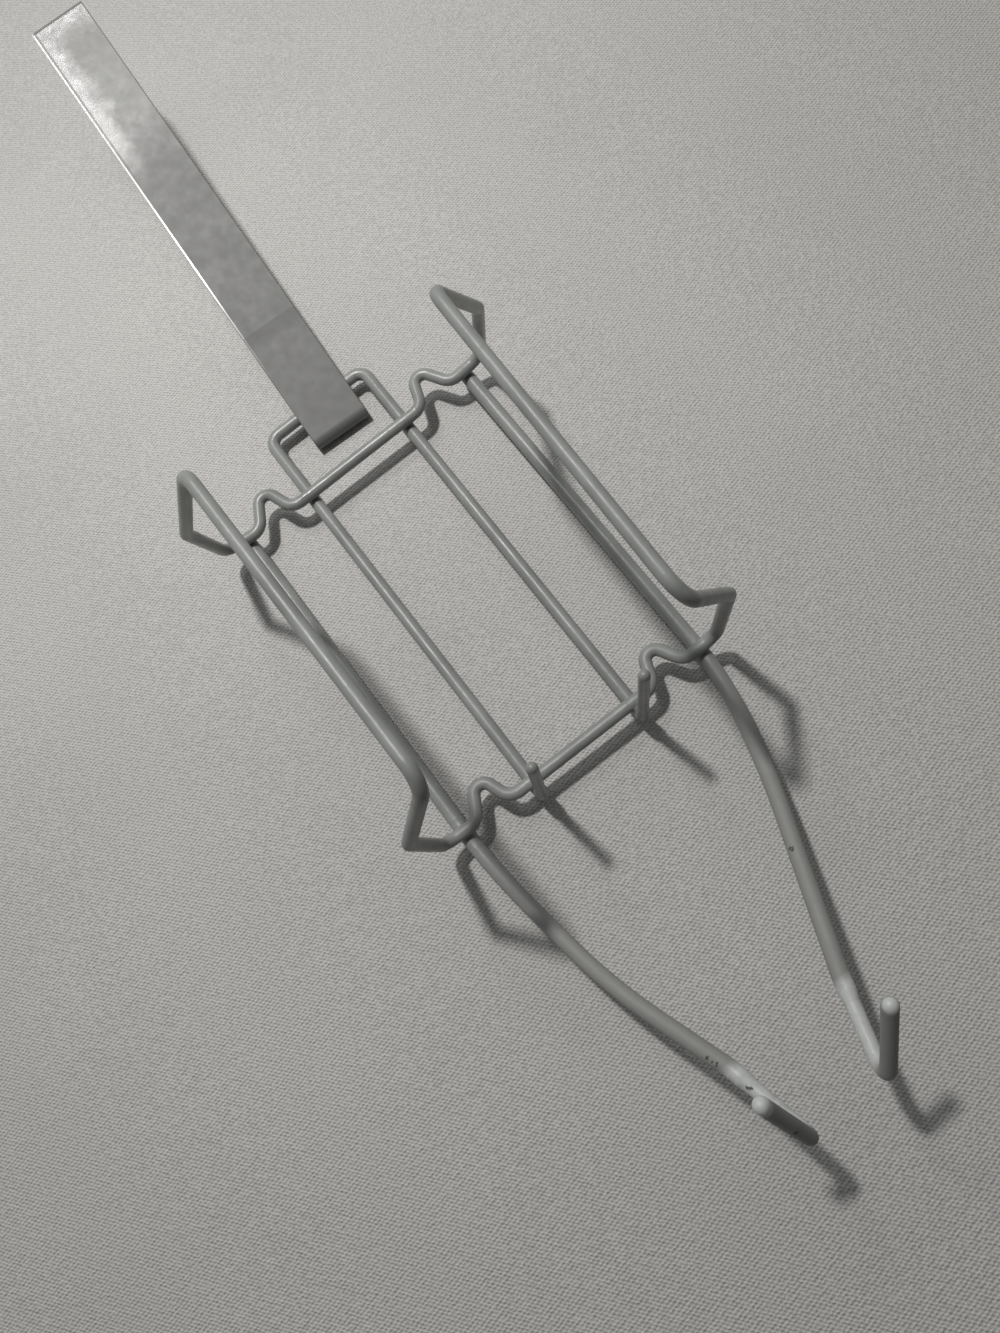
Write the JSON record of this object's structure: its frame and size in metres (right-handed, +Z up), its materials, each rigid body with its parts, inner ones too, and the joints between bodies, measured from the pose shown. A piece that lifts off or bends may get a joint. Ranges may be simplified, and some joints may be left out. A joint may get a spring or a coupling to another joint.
{
  "type": "wire iron holder",
  "caption": "Over-door holder for a clothes iron: a flat door strap carries a welded wire cradle with side rails, support pins and hooks for an ironing board.",
  "frame": {"origin": "middle of the strap's top plate on its underside, where it rests on the door's top edge", "axes": "+Z up along the holder, -Y away from the door towards the user, +X to the right as seen from the front; the strap leans forward on its loop as in the picture"},
  "size_m": [0.1355, 0.1078, 0.5214],
  "materials": {
    "strap_coat": "grey powder coat, half gloss",
    "wire_coat": "grey powder coat, satin"
  },
  "bodies": {
    "root": {"door_strap": "strap_coat", "hanger_frame": "wire_coat", "cradle_ring": "wire_coat", "left_leg": "wire_coat", "right_leg": "wire_coat"}
  },
  "joints": []
}
